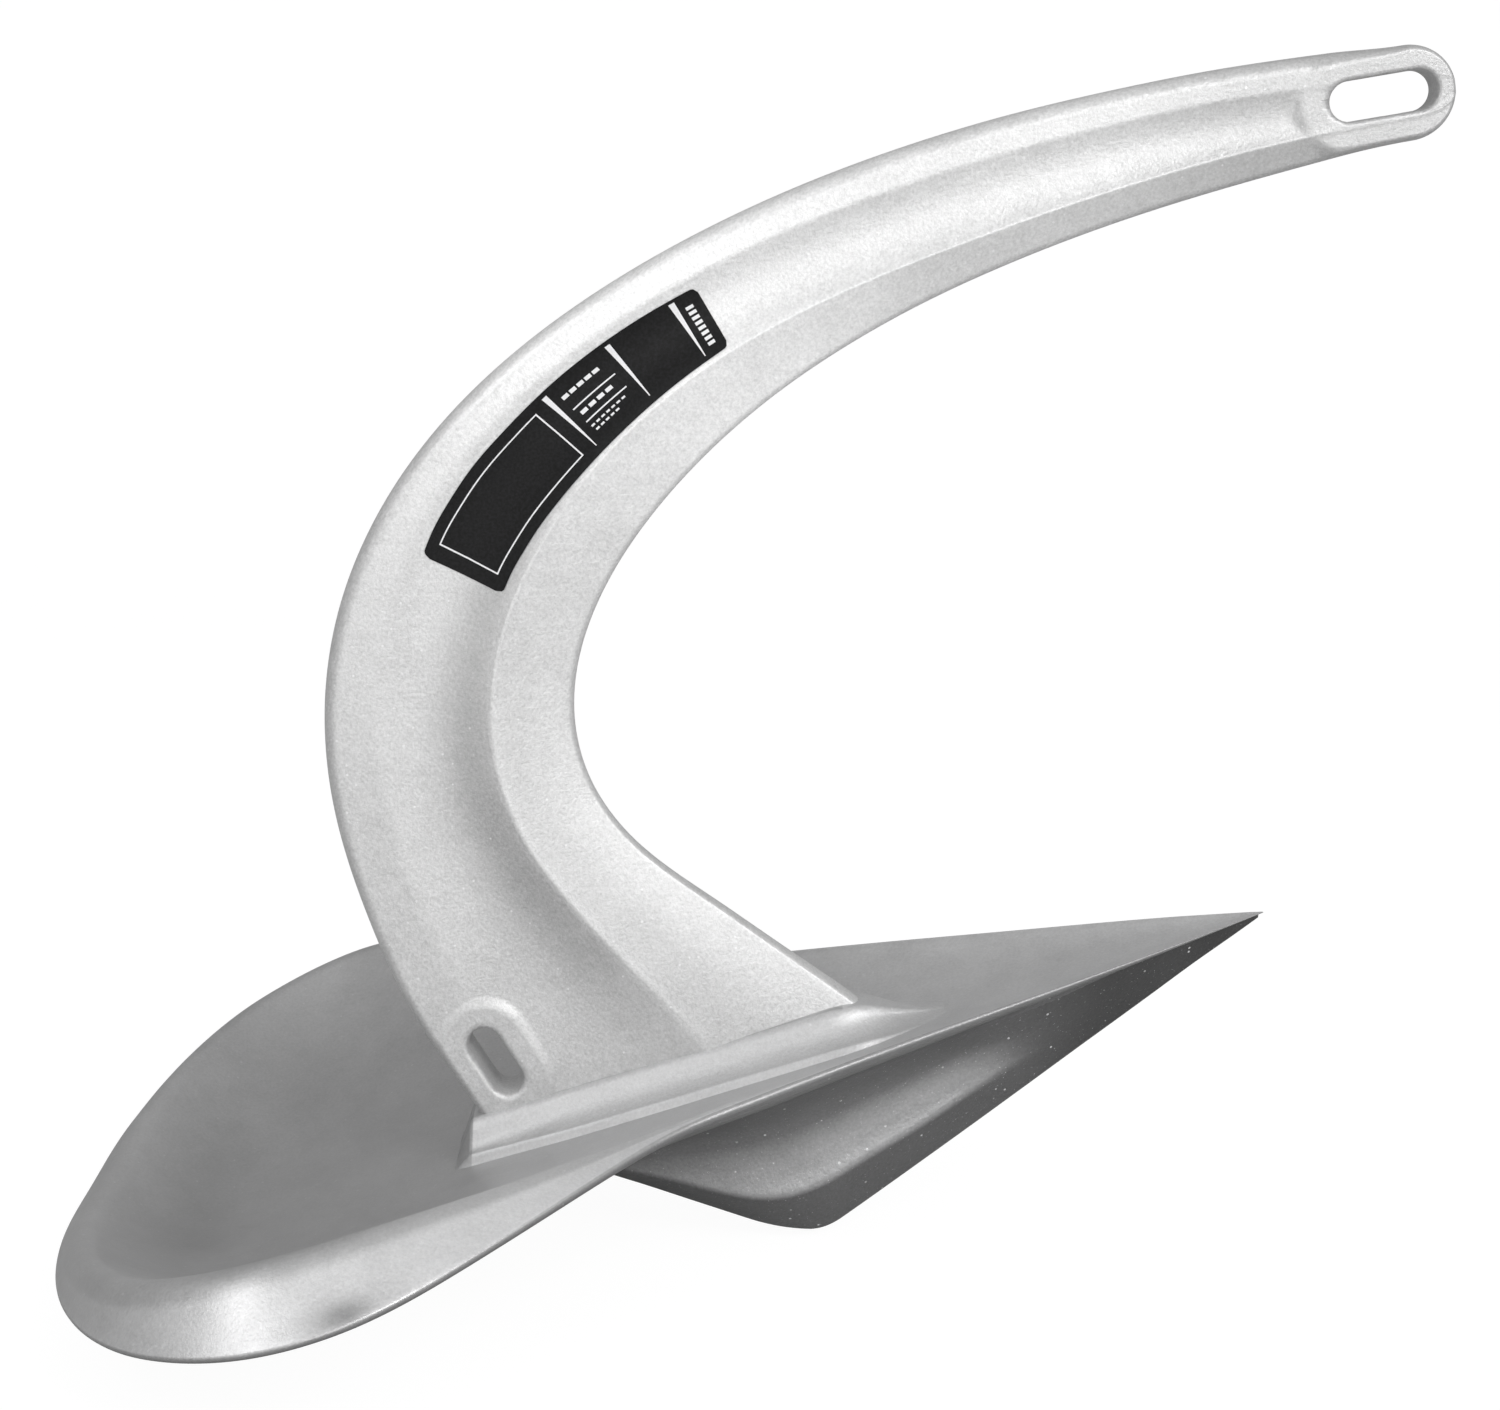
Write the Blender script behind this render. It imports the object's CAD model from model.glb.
import bpy
import math
import numpy as np
from mathutils import Matrix, Vector


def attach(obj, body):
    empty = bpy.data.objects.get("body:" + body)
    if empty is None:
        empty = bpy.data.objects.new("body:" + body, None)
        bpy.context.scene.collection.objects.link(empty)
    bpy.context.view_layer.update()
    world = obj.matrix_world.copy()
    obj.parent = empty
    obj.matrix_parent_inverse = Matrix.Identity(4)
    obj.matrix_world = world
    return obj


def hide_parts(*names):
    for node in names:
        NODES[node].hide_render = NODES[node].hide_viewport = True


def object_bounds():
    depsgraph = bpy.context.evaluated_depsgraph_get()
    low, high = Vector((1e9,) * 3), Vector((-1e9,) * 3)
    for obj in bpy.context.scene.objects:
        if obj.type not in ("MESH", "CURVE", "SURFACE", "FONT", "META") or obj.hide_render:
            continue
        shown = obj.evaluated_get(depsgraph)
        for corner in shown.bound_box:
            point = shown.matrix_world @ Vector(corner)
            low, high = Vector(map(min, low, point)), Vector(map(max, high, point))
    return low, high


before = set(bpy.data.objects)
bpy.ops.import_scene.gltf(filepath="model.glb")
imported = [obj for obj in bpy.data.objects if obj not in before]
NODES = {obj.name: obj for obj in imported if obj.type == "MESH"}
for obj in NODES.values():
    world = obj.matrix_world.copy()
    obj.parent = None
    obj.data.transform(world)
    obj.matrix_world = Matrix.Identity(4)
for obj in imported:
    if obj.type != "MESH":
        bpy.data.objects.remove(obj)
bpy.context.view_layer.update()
MM = 0.001

# ------------------------------------------------------------------ numbers
# Row frame in millimetres; same tables as the CAD model of the anchor.
SHX = -29.2
PITCH = math.radians(17.13)
CP, SP = math.cos(PITCH), math.sin(PITCH)
LEN = 528.7
TOE = (245.5, 133.4)
FAN = 0.80

CREST = np.array([
    (0.004, 0.004, 0.0000, 1.5, 0.0, 1.5), (0.100, 0.042, 0.0080, 1.5, 0.0, 1.5),
    (0.200, 0.082, 0.0165, 1.5, 0.0, 1.5), (0.300, 0.121, 0.0255, 1.5, 2.0, 1.5),
    (0.400, 0.160, 0.0335, 2.0, 10.0, 2.0), (0.470, 0.190, 0.0405, 4.5, 28.0, 3.0),
    (0.530, 0.232, 0.0520, 10.5, 46.0, 4.5), (0.590, 0.279, 0.0660, 18.3, 58.0, 5.5),
    (0.650, 0.320, 0.0797, 26.5, 65.0, 6.5), (0.700, 0.349, 0.0895, 31.3, 69.0, 7.5),
    (0.745, 0.362, 0.0952, 31.3, 73.0, 8.0), (0.790, 0.353, 0.0967, 28.0, 76.0, 9.0),
    (0.831, 0.328, 0.0955, 23.3, 79.0, 9.0), (0.868, 0.285, 0.0938, 18.8, 81.0, 9.0),
    (0.899, 0.223, 0.0903, 15.2, 82.0, 9.0), (0.920, 0.153, 0.0870, 12.8, 83.0, 9.0),
    (0.932, 0.079, 0.0848, 11.8, 83.0, 9.0), (0.936, 0.000, 0.0838, 11.3, 83.0, 9.0)])

# outer x z, inner x z, flange share, ridge share, half thickness flange web
# ridge inner, outer edge radius
SHANK = np.array([
    (254.9, 481.1, 260.6, 441.5, 0.310, 0.741, 7.6, 5.6, 7.8, 3.0, 6.4),
    (213.0, 474.9, 226.7, 432.1, 0.275, 0.738, 7.7, 5.1, 8.1, 2.8, 6.4),
    (171.6, 466.7, 193.1, 422.0, 0.264, 0.746, 7.9, 5.0, 8.5, 2.8, 6.5),
    (130.6, 456.9, 160.0, 410.6, 0.258, 0.752, 8.1, 5.0, 8.9, 2.8, 6.6),
    (90.1, 444.7, 128.0, 397.8, 0.248, 0.745, 8.4, 5.1, 9.4, 2.9, 6.8),
    (50.5, 430.0, 96.4, 383.0, 0.230, 0.718, 8.7, 5.2, 9.9, 3.0, 7.0),
    (12.0, 412.4, 65.5, 365.4, 0.206, 0.680, 9.0, 5.4, 10.3, 3.2, 7.2),
    (-25.0, 391.6, 36.7, 345.2, 0.185, 0.653, 9.3, 5.6, 10.8, 3.3, 7.3),
    (-60.0, 366.9, 10.7, 322.0, 0.174, 0.645, 9.6, 5.9, 11.3, 3.5, 7.4),
    (-91.6, 337.3, -12.6, 295.0, 0.172, 0.654, 9.9, 6.1, 11.8, 3.7, 7.4),
    (-117.5, 302.1, -31.4, 263.4, 0.180, 0.668, 10.2, 6.4, 12.3, 3.9, 7.3),
    (-135.1, 261.9, -40.8, 228.0, 0.193, 0.670, 10.5, 6.7, 12.7, 4.0, 7.1),
    (-142.2, 218.1, -35.4, 192.7, 0.200, 0.652, 10.8, 7.0, 13.1, 4.2, 6.8),
    (-138.2, 173.1, -14.4, 162.8, 0.194, 0.628, 11.0, 7.4, 13.4, 4.5, 6.4),
    (-125.2, 129.1, 15.7, 139.9, 0.170, 0.618, 11.3, 8.0, 13.6, 4.9, 6.0),
    (-106.4, 87.3, 46.0, 118.3, 0.140, 0.622, 11.5, 9.2, 13.6, 5.6, 5.5),
    (-81.2, 47.4, 76.8, 96.2, 0.118, 0.606, 11.7, 11.0, 13.4, 6.8, 5.0),
    (-73.4, 30.9, 92.6, 83.4, 0.118, 0.600, 11.8, 11.5, 13.2, 7.6, 5.0)])
SHANK_T = np.concatenate([np.linspace(0, 1, 17), [1.045]])

EYE_TILT = math.radians(9.8)
EYE_B = np.array([273.5 + 13.5 * math.cos(EYE_TILT), 463.9 + 13.5 * math.sin(EYE_TILT)])
EYE_A = np.array([273.5 - 13.5 * math.cos(EYE_TILT), 463.9 - 13.5 * math.sin(EYE_TILT)])
EYE_R = 18.4
SLOT = dict(c=np.array([275.9, 464.9]), a=EYE_TILT, length=42.5, width=15.5)
LOW = dict(c=np.array([-74.2, 73.2]), a=math.radians(-58.0), length=31.0, width=13.5)
LOWPAD = dict(c=np.array([-74.2, 73.2]), a=math.radians(-58.0), length=54.0, width=36.0)

KEEL = np.array([
    (243.5, 131.2, 0.15, 131.5, 0.4, 0.8), (236.0, 125.6, 0.9, 126.2, 1.9, 4.0), (216.0, 111.1, 2.2, 113.3, 4.2, 8.5), (205.0, 103.2, 4.0, 107.4, 7.6, 12.5),
    (185.0, 88.7, 7.0, 96.4, 13.0, 20.5), (160.0, 70.6, 10.0, 83.6, 18.0, 30.0),
    (130.0, 48.9, 13.2, 69.0, 25.0, 40.0), (100.0, 27.2, 15.8, 50.6, 29.5, 49.0),
    (78.0, 11.3, 17.4, 37.8, 31.8, 54.5), (63.0, 0.4, 18.0, 28.7, 32.6, 57.0),
    (45.0, 0.4, 18.0, 21.4, 32.6, 58.5), (28.0, 6.4, 18.0, 20.8, 31.5, 58.5),
    (5.0, 14.6, 18.0, 25.4, 29.5, 55.0), (-18.0, 22.7, 18.0, 29.6, 26.5, 48.0),
    (-40.0, 30.5, 17.5, 33.2, 22.5, 36.0), (-52.0, 34.75, 14.0, 35.6, 17.0, 22.0)])


# ------------------------------------------------------------------ helpers
class Cubic:
    """C2 spline through rows at increasing parameters, natural ends"""

    def __init__(self, t, P, even_end=None):
        t = np.asarray(t, float)
        P = np.asarray(P, float)
        if even_end is not None:
            # continue past the end as a mirror image so the end is smooth
            k = 4
            tt = 2 * t[-1] - t[-2:-2 - k:-1]
            Q = P[-2:-2 - k:-1].copy()
            Q[:, even_end] *= -1
            t = np.concatenate([t, tt])
            P = np.vstack([P, Q])
        n = len(t)
        h = np.diff(t)
        A = np.zeros((n, n))
        R = np.zeros((n, P.shape[1]))
        A[0, 0] = A[-1, -1] = 1
        for i in range(1, n - 1):
            A[i, i - 1] = h[i - 1]
            A[i, i] = 2 * (h[i - 1] + h[i])
            A[i, i + 1] = h[i]
            R[i] = 6 * ((P[i + 1] - P[i]) / h[i] - (P[i] - P[i - 1]) / h[i - 1])
        self.t, self.P, self.h = t, P, h
        self.M = np.linalg.solve(A, R)

    def __call__(self, x):
        x = np.atleast_1d(np.asarray(x, float))
        i = np.clip(np.searchsorted(self.t, x) - 1, 0, len(self.h) - 1)
        h = self.h[i][:, None]
        a = (self.t[i + 1][:, None] - x[:, None]) / h
        b = (x[:, None] - self.t[i][:, None]) / h
        P, M = self.P, self.M
        return a * P[i] + b * P[i + 1] + ((a ** 3 - a) * M[i] + (b ** 3 - b) * M[i + 1]) * h * h / 6.0


def smooth(f):
    f = np.clip(f, 0.0, 1.0)
    return f * f * (3 - 2 * f)


def smax(a, b, k):
    h = np.clip(0.5 + 0.5 * (a - b) / k, 0, 1)
    return b + (a - b) * h + k * h * (1 - h)


def smin(a, b, k):
    return -smax(-a, -b, k)


def obround(x, z, o):
    """signed distance to a bar with round ends"""
    c, s = math.cos(o["a"]), math.sin(o["a"])
    u = (x - o["c"][0]) * c + (z - o["c"][1]) * s
    v = -(x - o["c"][0]) * s + (z - o["c"][1]) * c
    half = (o["length"] - o["width"]) / 2.0
    du = np.maximum(np.abs(u) - half, 0.0)
    return np.hypot(du, v) - o["width"] / 2.0


def mesh_object(name, verts, faces, mats, smooth_shade=True):
    me = bpy.data.meshes.new(name)
    me.from_pydata([tuple(v) for v in verts], [], faces)
    me.validate()
    me.update()
    ob = bpy.data.objects.new(name, me)
    bpy.context.scene.collection.objects.link(ob)
    for m in mats:
        me.materials.append(m)
    if smooth_shade:
        me.polygons.foreach_set("use_smooth", [True] * len(me.polygons))
    return ob


def tone(ob, fn):
    """worn and fresh areas: a value per vertex, above zero darker, below zero lighter"""
    me = ob.data
    co = np.empty(len(me.vertices) * 3)
    me.vertices.foreach_get("co", co)
    co = co.reshape(-1, 3) / MM
    val = np.clip(fn(co), -0.8, 0.85).astype(np.float32)
    at = me.attributes.new("tone", "FLOAT", "POINT")
    at.data.foreach_set("value", val)


def bump1(v, c, w):
    return np.exp(-((v - c) / w) ** 2)


def weld_and_fix(ob, dist=2e-6):
    import bmesh
    bm = bmesh.new()
    bm.from_mesh(ob.data)
    bmesh.ops.remove_doubles(bm, verts=bm.verts, dist=dist)
    bmesh.ops.dissolve_degenerate(bm, dist=1e-7, edges=bm.edges)
    # close what the slot and toe rims left open
    for _ in range(3):
        gap = [e for e in bm.edges if len(e.link_faces) == 1]
        if not gap:
            break
        got = bmesh.ops.holes_fill(bm, edges=gap, sides=0)["faces"]
        if not got:
            break
        for fc_ in got:
            fc_.smooth = True
        bmesh.ops.triangulate(bm, faces=got)
    bmesh.ops.recalc_face_normals(bm, faces=bm.faces)
    bm.to_mesh(ob.data)
    bm.free()
    ob.data.update()


def sharp_edges(ob, degrees):
    ob.data.set_sharp_from_angle(angle=math.radians(degrees))


def grid_faces(nu, nv, off=0, flip=False):
    f = []
    for i in range(nu - 1):
        for j in range(nv - 1):
            a = off + i * nv + j
            q = (a, a + 1, a + nv + 1, a + nv)
            f.append(q[::-1] if flip else q)
    return f


def closed_plate(outer, inner):
    """closed mesh from two matching grids (nu, nv, 3)"""
    nu, nv = outer.shape[:2]
    verts = np.concatenate([outer.reshape(-1, 3), inner.reshape(-1, 3)])
    n = nu * nv
    faces = grid_faces(nu, nv) + grid_faces(nu, nv, n, True)
    for j in range(nv - 1):
        a, b = j, j + 1
        faces.append((a, n + a, n + b, b))
        a, b = (nu - 1) * nv + j, (nu - 1) * nv + j + 1
        faces.append((b, n + b, n + a, a))
    for i in range(nu - 1):
        a, b = i * nv, (i + 1) * nv
        faces.append((b, n + b, n + a, a))
        a, b = i * nv + nv - 1, (i + 1) * nv + nv - 1
        faces.append((a, n + a, n + b, b))
    return verts, faces


def fl(p):
    """fluke frame (back from the toe, port, above) mm to the row frame mm"""
    p = np.asarray(p, float)
    s, b, w = p[..., 0], p[..., 1], p[..., 2]
    return np.stack([TOE[0] - s * CP - w * SP + SHX, b, TOE[1] - s * SP + w * CP], axis=-1)


# ------------------------------------------------------------------ materials
def new_mat(name):
    m = bpy.data.materials.new(name)
    m.use_nodes = True
    nt = m.node_tree
    nt.nodes.clear()
    return m, nt


class G:
    """small node graph writer"""

    def __init__(self, nt):
        self.nt = nt

    def n(self, kind, **kw):
        nd = self.nt.nodes.new(kind)
        for k, v in kw.items():
            if k in nd.inputs:
                nd.inputs[k].default_value = v
            else:
                setattr(nd, k, v)
        return nd

    def l(self, a, b):
        self.nt.links.new(a, b)

    def math(self, op, a, b=None, clamp=False):
        nd = self.nt.nodes.new("ShaderNodeMath")
        nd.operation = op
        nd.use_clamp = clamp
        for i, v in enumerate((a, b)):
            if v is None:
                continue
            if isinstance(v, (int, float)):
                nd.inputs[i].default_value = v
            else:
                self.l(v, nd.inputs[i])
        return nd.outputs[0]

    def mix(self, fac, a, b, mode="MIX"):
        nd = self.nt.nodes.new("ShaderNodeMix")
        nd.data_type = "RGBA"
        nd.blend_type = mode
        ins = [i for i in nd.inputs if i.enabled or True]
        for sock, v in ((nd.inputs[0], fac), (nd.inputs[6], a), (nd.inputs[7], b)):
            if isinstance(v, (int, float)):
                sock.default_value = v
            elif isinstance(v, (tuple, list)):
                sock.default_value = (*v, 1.0) if len(v) == 3 else v
            else:
                self.l(v, sock)
        return nd.outputs[2]

    def ramp(self, fac, stops):
        nd = self.nt.nodes.new("ShaderNodeValToRGB")
        el = nd.color_ramp.elements
        while len(el) > len(stops):
            el.remove(el[-1])
        while len(el) < len(stops):
            el.new(0.5)
        for e, (p, c) in zip(el, stops):
            e.position = p
            e.color = (c, c, c, 1) if isinstance(c, (int, float)) else (*c, 1)
        self.l(fac, nd.inputs[0])
        return nd.outputs[0]

    def noise(self, vec, scale, detail=3.0, rough=0.55):
        nd = self.n("ShaderNodeTexNoise", Scale=scale, Detail=detail, Roughness=rough)
        self.l(vec, nd.inputs["Vector"])
        return nd.outputs[0]


def galvanised(name, light, dark, rough, metal=0.6, grain=1.0, speck=0.5, streak=0.0, under=1.0, along=0.0):
    m, nt = new_mat(name)
    g = G(nt)
    tc = g.n("ShaderNodeTexCoord")
    co = tc.outputs["Object"]
    big = g.noise(co, 9.0, 4.0, 0.6)
    mid = g.noise(co, 48.0, 4.0, 0.6)
    fine = g.noise(co, 760.0, 3.0, 0.65)
    dust = g.noise(co, 1100.0, 2.0, 0.7)
    # crystal fields of the zinc
    vo = g.n("ShaderNodeTexVoronoi", Scale=150.0)
    wob = g.n("ShaderNodeVectorMath", operation="ADD")
    wn = g.n("ShaderNodeTexNoise", Scale=60.0, Detail=2.0)
    g.l(co, wn.inputs["Vector"])
    sc = g.n("ShaderNodeVectorMath", operation="SCALE")
    sc.inputs["Scale"].default_value = 0.02
    g.l(wn.outputs["Color"], sc.inputs[0])
    g.l(co, wob.inputs[0])
    g.l(sc.outputs[0], wob.inputs[1])
    g.l(wob.outputs[0], vo.inputs["Vector"])
    cell = g.n("ShaderNodeSeparateColor")
    g.l(vo.outputs["Color"], cell.inputs[0])
    # tone: mottling in three sizes
    t = g.math("MULTIPLY", g.math("SUBTRACT", big, 0.5), 0.55)
    t = g.math("ADD", t, g.math("MULTIPLY", g.math("SUBTRACT", mid, 0.5), 0.45))
    t = g.math("ADD", t, g.math("MULTIPLY", g.math("SUBTRACT", fine, 0.5), 1.9 * grain))
    t = g.math("ADD", t, g.math("MULTIPLY", g.math("SUBTRACT", dust, 0.5), 0.6 * grain))
    t = g.math("ADD", t, g.math("MULTIPLY", g.math("SUBTRACT", cell.outputs[0], 0.5), 0.10))
    if streak > 0:
        mp = g.n("ShaderNodeMapping")
        mp.inputs["Scale"].default_value = (30.0, 30.0, 480.0)
        mp.inputs["Rotation"].default_value = (0.0, math.radians(38.0), 0.0)
        g.l(co, mp.inputs["Vector"])
        st = g.n("ShaderNodeTexNoise", Scale=1.0, Detail=4.0, Roughness=0.6)
        g.l(mp.outputs[0], st.inputs["Vector"])
        t = g.math("ADD", t, g.math("MULTIPLY", g.math("SUBTRACT", st.outputs[0], 0.5), streak))
    t = g.math("ADD", t, 0.5, clamp=True)
    col = g.mix(t, dark, light)
    if under < 1.0:
        # faces that look down stay duller
        gn = g.n("ShaderNodeNewGeometry")
        sz = g.n("ShaderNodeSeparateXYZ")
        g.l(gn.outputs["Normal"], sz.inputs[0])
        dn = g.ramp(g.math("ADD", g.math("MULTIPLY", sz.outputs[2], 0.5), 0.5), [(0.0, under), (0.28, under), (0.46, 1.0)])
        col = g.mix(1.0, col, dn, "MULTIPLY")
    if along:
        sx_ = g.n("ShaderNodeSeparateXYZ")
        g.l(co, sx_.inputs[0])
        gr = g.math("ADD", 1.0, g.math("MULTIPLY", sx_.outputs[0], along))
        cmb = g.n("ShaderNodeCombineColor")
        for k in range(3):
            g.l(gr, cmb.inputs[k])
        col = g.mix(1.0, col, cmb.outputs[0], "MULTIPLY")
    at = g.n("ShaderNodeAttribute")
    at.attribute_name = "tone"
    av = g.math("SUBTRACT", 1.0, at.outputs["Fac"])
    cmb2 = g.n("ShaderNodeCombineColor")
    for k in range(3):
        g.l(av, cmb2.inputs[k])
    col = g.mix(1.0, col, cmb2.outputs[0], "MULTIPLY")
    # bright zinc grains
    sp = g.ramp(dust, [(0.0, 0.0), (0.69, 0.0), (0.74, 1.0)])
    spm = g.math("MULTIPLY", sp, speck)
    vs = g.n("ShaderNodeTexVoronoi", Scale=260.0)
    g.l(co, vs.inputs["Vector"])
    vc = g.n("ShaderNodeSeparateColor")
    g.l(vs.outputs["Color"], vc.inputs[0])
    dot = g.math("MULTIPLY", g.ramp(vs.outputs["Distance"], [(0.0, 1.0), (0.10, 1.0), (0.16, 0.0)]),
                 g.ramp(vc.outputs[0], [(0.0, 0.0), (0.84, 0.0), (0.86, 1.0)]))
    spm = g.math("MAXIMUM", spm, g.math("MULTIPLY", dot, min(1.0, speck * 1.1)))
    col = g.mix(spm, col, (0.93, 0.93, 0.94))
    # wear: edges a little brighter
    geo = g.n("ShaderNodeNewGeometry")
    pt = g.ramp(geo.outputs["Pointiness"], [(0.0, 0.0), (0.52, 0.0), (0.60, 1.0)])
    col = g.mix(g.math("MULTIPLY", pt, 0.10), col, tuple(min(1.0, c * 1.25) for c in light))
    bs = g.n("ShaderNodeBsdfPrincipled")
    bs.inputs["Metallic"].default_value = metal
    g.l(col, bs.inputs["Base Color"])
    r = g.math("ADD", rough, g.math("MULTIPLY", g.math("SUBTRACT", mid, 0.5), 0.22))
    r = g.math("ADD", r, g.math("MULTIPLY", g.math("SUBTRACT", fine, 0.5), 0.25))
    r = g.math("SUBTRACT", r, g.math("MULTIPLY", spm, 0.15), clamp=True)
    g.l(r, bs.inputs["Roughness"])
    b1 = g.n("ShaderNodeBump", Strength=0.75 * grain, Distance=0.00028)
    g.l(fine, b1.inputs["Height"])
    b2 = g.n("ShaderNodeBump", Strength=0.35, Distance=0.0009)
    g.l(mid, b2.inputs["Height"])
    g.l(b1.outputs[0], b2.inputs["Normal"])
    g.l(b2.outputs[0], bs.inputs["Normal"])
    out = g.n("ShaderNodeOutputMaterial")
    g.l(bs.outputs[0], out.inputs[0])
    return m


M_SHANK = galvanised("zinc_shank", (0.74, 0.74, 0.74), (0.52, 0.52, 0.52), 0.42, 0.40, 1.0, 0.35, 0.22)
M_BLADE = galvanised("zinc_blade", (0.63, 0.63, 0.633), (0.44, 0.44, 0.443), 0.42, 0.64, 0.55, 0.15, 0.10, 1.0, 0.9)
M_CHAMBER = galvanised("zinc_chamber", (0.44, 0.44, 0.443), (0.29, 0.29, 0.292), 0.40, 0.63, 0.7, 0.8, 0.0, 0.48, -0.8)
M_WELD = galvanised("zinc_weld", (0.58, 0.58, 0.583), (0.44, 0.44, 0.443), 0.44, 0.5, 0.8, 0.2, 0.0)
M_SEAM = galvanised("zinc_seam", (0.24, 0.24, 0.243), (0.15, 0.15, 0.152), 0.40, 0.7, 1.0, 0.4, 0.0)
M_INNER = galvanised("raw_steel", (0.30, 0.30, 0.31), (0.18, 0.18, 0.19), 0.55, 0.8, 1.0, 0.1, 0.2)
M_BALLAST = galvanised("ballast_iron", (0.16, 0.16, 0.165), (0.08, 0.08, 0.085), 0.7, 0.3, 1.4, 0.2, 0.0)


def label_material():
    m, nt = new_mat("label_film")
    g = G(nt)
    tc = g.n("ShaderNodeTexCoord")
    co = tc.outputs["Object"]
    a = g.noise(co, 30.0, 3.0)
    b = g.noise(co, 900.0, 2.0)
    col = g.mix(g.ramp(b, [(0.35, 0.0), (0.75, 1.0)]), (0.003, 0.003, 0.003), (0.010, 0.010, 0.011))
    bs = g.n("ShaderNodeBsdfPrincipled")
    bs.inputs["Specular IOR Level"].default_value = 0.18
    g.l(col, bs.inputs["Base Color"])
    r = g.math("ADD", 0.42, g.math("MULTIPLY", g.math("SUBTRACT", a, 0.5), 0.3))
    g.l(r, bs.inputs["Roughness"])
    bp = g.n("ShaderNodeBump", Strength=0.15, Distance=0.0002)
    g.l(b, bp.inputs["Height"])
    g.l(bp.outputs[0], bs.inputs["Normal"])
    out = g.n("ShaderNodeOutputMaterial")
    g.l(bs.outputs[0], out.inputs[0])
    return m


def ink_material():
    m, nt = new_mat("label_ink")
    g = G(nt)
    tc = g.n("ShaderNodeTexCoord")
    b = g.noise(tc.outputs["Object"], 1400.0, 2.0)
    col = g.mix(b, (0.60, 0.60, 0.61), (0.84, 0.84, 0.85))
    bs = g.n("ShaderNodeBsdfPrincipled", Roughness=0.4)
    g.l(col, bs.inputs["Base Color"])
    out = g.n("ShaderNodeOutputMaterial")
    g.l(bs.outputs[0], out.inputs[0])
    return m


M_LABEL = label_material()
M_INK = ink_material()

# ------------------------------------------------------------------ fluke
CREST[0] = (0.0, 0.0005, 0.0, 0.3, 0.0, 0.3)
crest = Cubic(np.linspace(0, 1, len(CREST)), CREST, even_end=1)


def blade_rows(nu, nd, nb, ns):
    """top surface grid (nu+1, n, 3) from the centre plane to the rim, fluke frame mm"""
    T = np.linspace(0, 1, nu + 1)
    K = crest(T)
    A = crest(np.clip(T - 1e-3, 0, 1))
    C = crest(np.clip(T + 1e-3, 0, 1))
    rows = []
    for i, t in enumerate(T):
        s, b, w = K[i][0] * LEN, K[i][1] * LEN, K[i][2] * LEN
        skirt, turn, zone = K[i][3], math.radians(max(K[i][4], 0.0)), K[i][5]
        ds, db = (C[i] - A[i])[:2]
        if t > 1 - 1e-6:
            ds, db, b = 0.0, -1.0, 0.0
        mm = math.hypot(ds, db)
        nrm = np.array([-db / mm, ds / mm])
        so = FAN * LEN * min(1.0, K[i][0] / CREST[-1][0])
        if i == 0:
            so = s
            nrm = np.array([0.0, 1.0])
        ray = np.array([s - so, b])
        rl = max(np.hypot(*ray), 1e-6)
        rz = min(zone / rl, 0.3)
        r0 = 1 - rz
        q = np.linspace(0, 1, nd + 1) * r0
        pw = 2.0 + 0.9 * float(smooth(np.array((K[i][0] - 0.70) / 0.16)))
        pts = [np.array([so + ray[0] * v, ray[1] * v, w * v ** pw]) for v in q]
        d0 = np.array([ray[0], ray[1], pw * w * r0 ** (pw - 1)])
        d0 /= np.linalg.norm(d0)
        el0 = math.asin(d0[2])
        h0 = d0[:2] / np.linalg.norm(d0[:2])
        p = pts[-1].copy()
        seg = 2 * min(zone, rz * rl) / nb
        for k in range(nb):
            f = (k + 0.5) / nb
            e = f * f * (3 - 2 * f)
            el = el0 - turn * e
            h = h0 * (1 - e) + nrm * e
            h /= np.linalg.norm(h)
            p = p + seg * np.array([h[0] * math.cos(el), h[1] * math.cos(el), math.sin(el)])
            pts.append(p.copy())
        el = el0 - turn
        dv = np.array([nrm[0] * math.cos(el), nrm[1] * math.cos(el), math.sin(el)])
        rest = max(skirt - zone, min(0.8, 0.1 + 0.02 * s))
        for k in range(1, ns + 1):
            pts.append(p + dv * rest * k / ns)
        rows.append(pts)
    return np.array(rows)


def grid_normals(P, keep_centre=True):
    du = np.gradient(P, axis=0)
    dv = np.gradient(P, axis=1)
    n = np.cross(du, dv)
    ln = np.linalg.norm(n, axis=-1, keepdims=True)
    n = n / np.maximum(ln, 1e-9)
    return n


NU, ND, NB, NS = 200, 44, 14, 16
top_f = blade_rows(NU, ND, NB, NS)
nrm = grid_normals(top_f)
if nrm[NU // 2, 5, 2] < 0:
    nrm = -nrm
nrm[:, 0] = (0, 0, 1)
# on the centre plane the sheet leans only back or forward
last = np.gradient(top_f[-1], axis=0)
ln = np.stack([-last[:, 2], np.zeros(len(last)), last[:, 0]], axis=-1)
ln /= np.maximum(np.linalg.norm(ln, axis=-1, keepdims=True), 1e-9)
ln[ln[:, 2] < -0.05] *= 1
for j in range(len(ln)):
    if np.dot(ln[j], nrm[-3, j]) < 0:
        ln[j] = -ln[j]
ln[0] = (0, 0, 1)
nrm[-1] = ln
nrm[0, :, 0] = 0.0
nrm[0] /= np.maximum(np.linalg.norm(nrm[0], axis=-1, keepdims=True), 1e-9)
nv = top_f.shape[1]
f = np.arange(nv) / (nv - 1.0)
thk = 6.0 + (4.0 - 6.0) * np.clip((f - 0.55) / 0.45, 0, 1)
kt = np.clip(np.linspace(0, 1, NU + 1) / 0.25, 0, 1)
thk = thk[None, :] * (0.04 + 0.96 * kt)[:, None]
bot_f = top_f - nrm * thk[..., None]
bot_f[:, 0, 1] = 0.0
bot_f[-1, :, 1] = 0.0
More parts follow.
